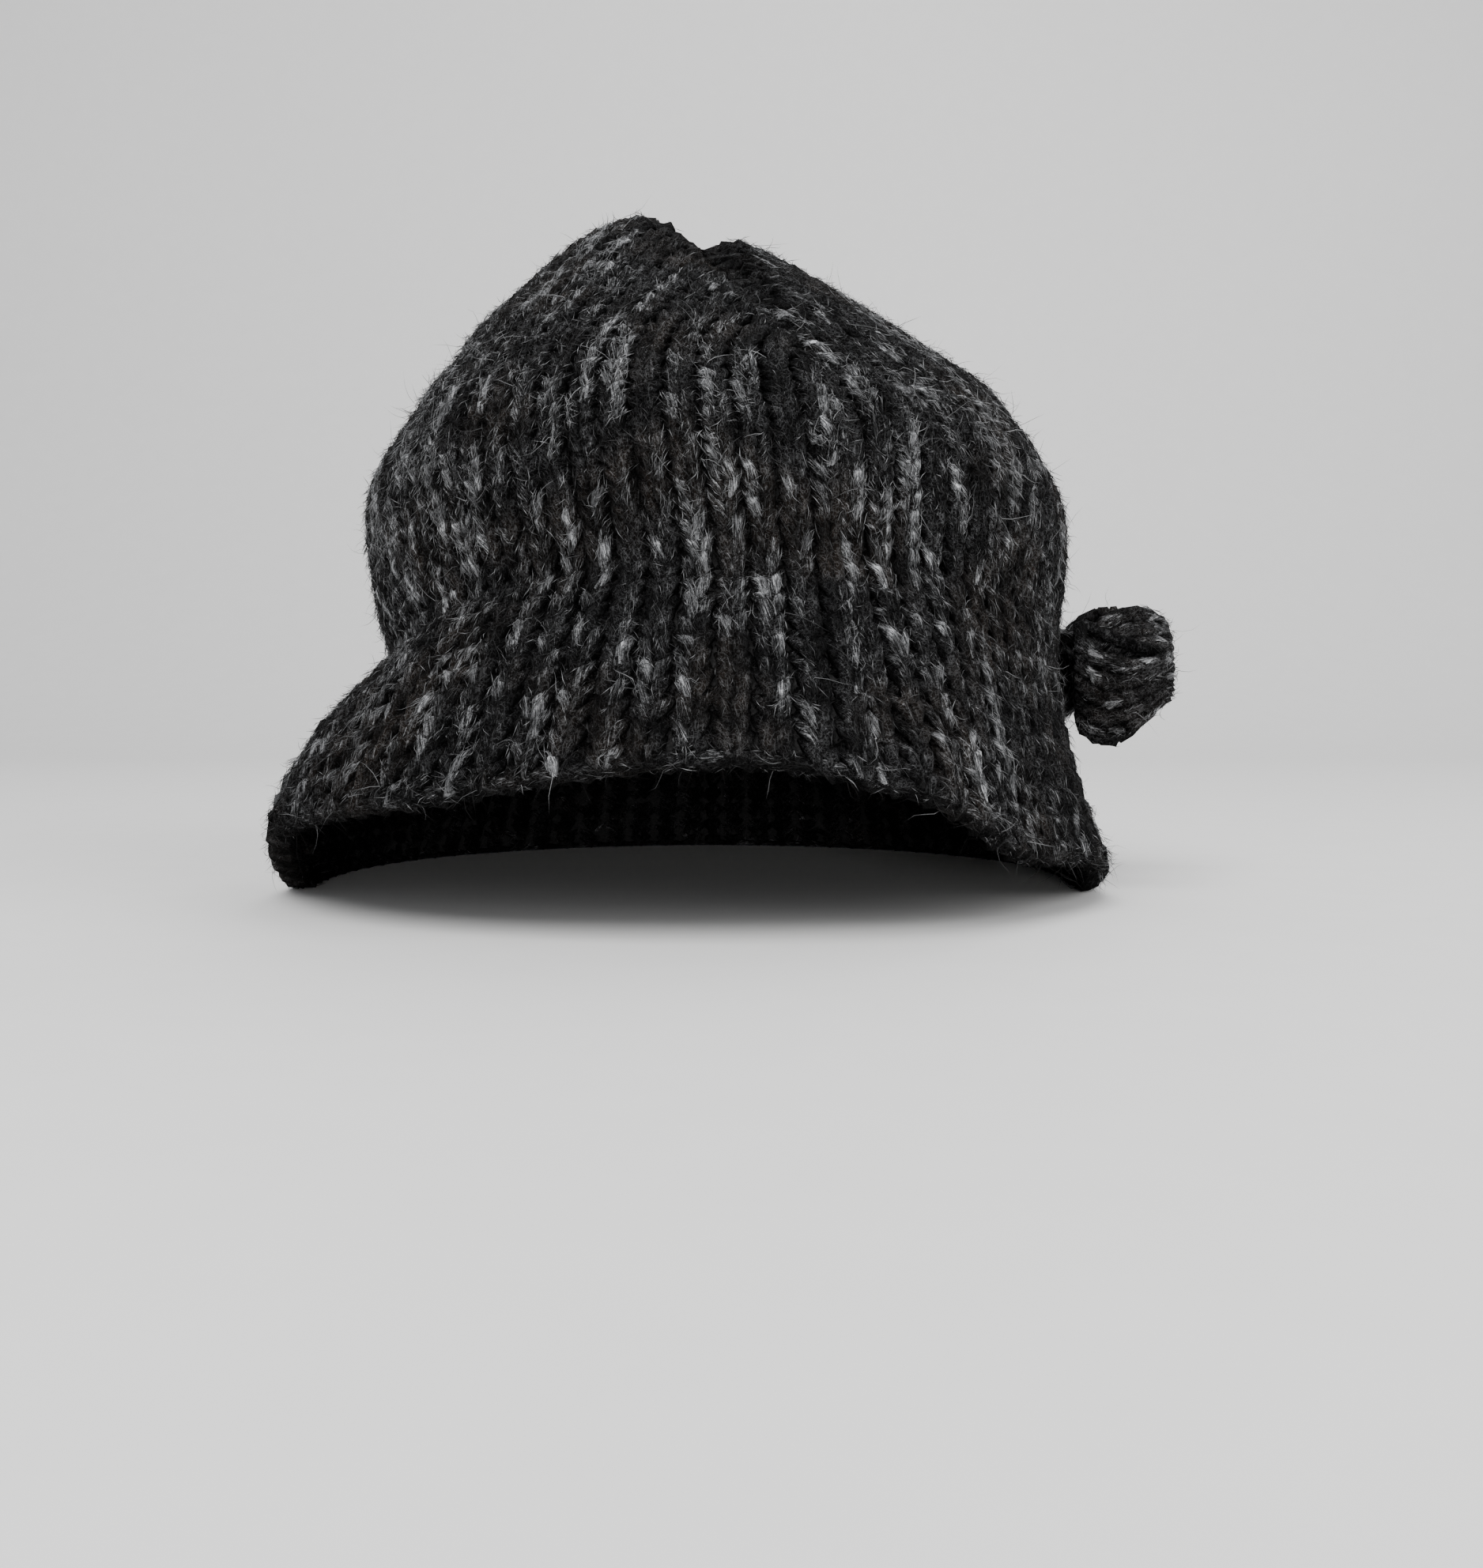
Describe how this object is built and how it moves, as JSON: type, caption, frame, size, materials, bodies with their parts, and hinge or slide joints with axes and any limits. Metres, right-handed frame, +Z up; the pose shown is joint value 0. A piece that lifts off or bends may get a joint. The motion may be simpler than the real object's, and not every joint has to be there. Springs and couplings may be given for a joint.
{
  "type": "knit bucket hat",
  "caption": "Soft knitted bucket hat with a gathered crown, a flared brim that arches up at the front, and a small bow at one side of the crease.",
  "frame": {"origin": "middle of the footprint, on the surface that the brim rests on", "axes": "+Z up through the crown, the front of the hat towards -Y, the bow on the +X side"},
  "size_m": [0.2398, 0.2462, 0.1734],
  "materials": {
    "knit": "felted black and grey marled wool knit",
    "bow_knit": "black and grey marled wool knit"
  },
  "bodies": {
    "root": {"crown": "knit", "brim": "knit", "bow_loop_front": "bow_knit", "bow_loop_rear": "bow_knit", "bow_knot": "bow_knit"}
  },
  "joints": []
}
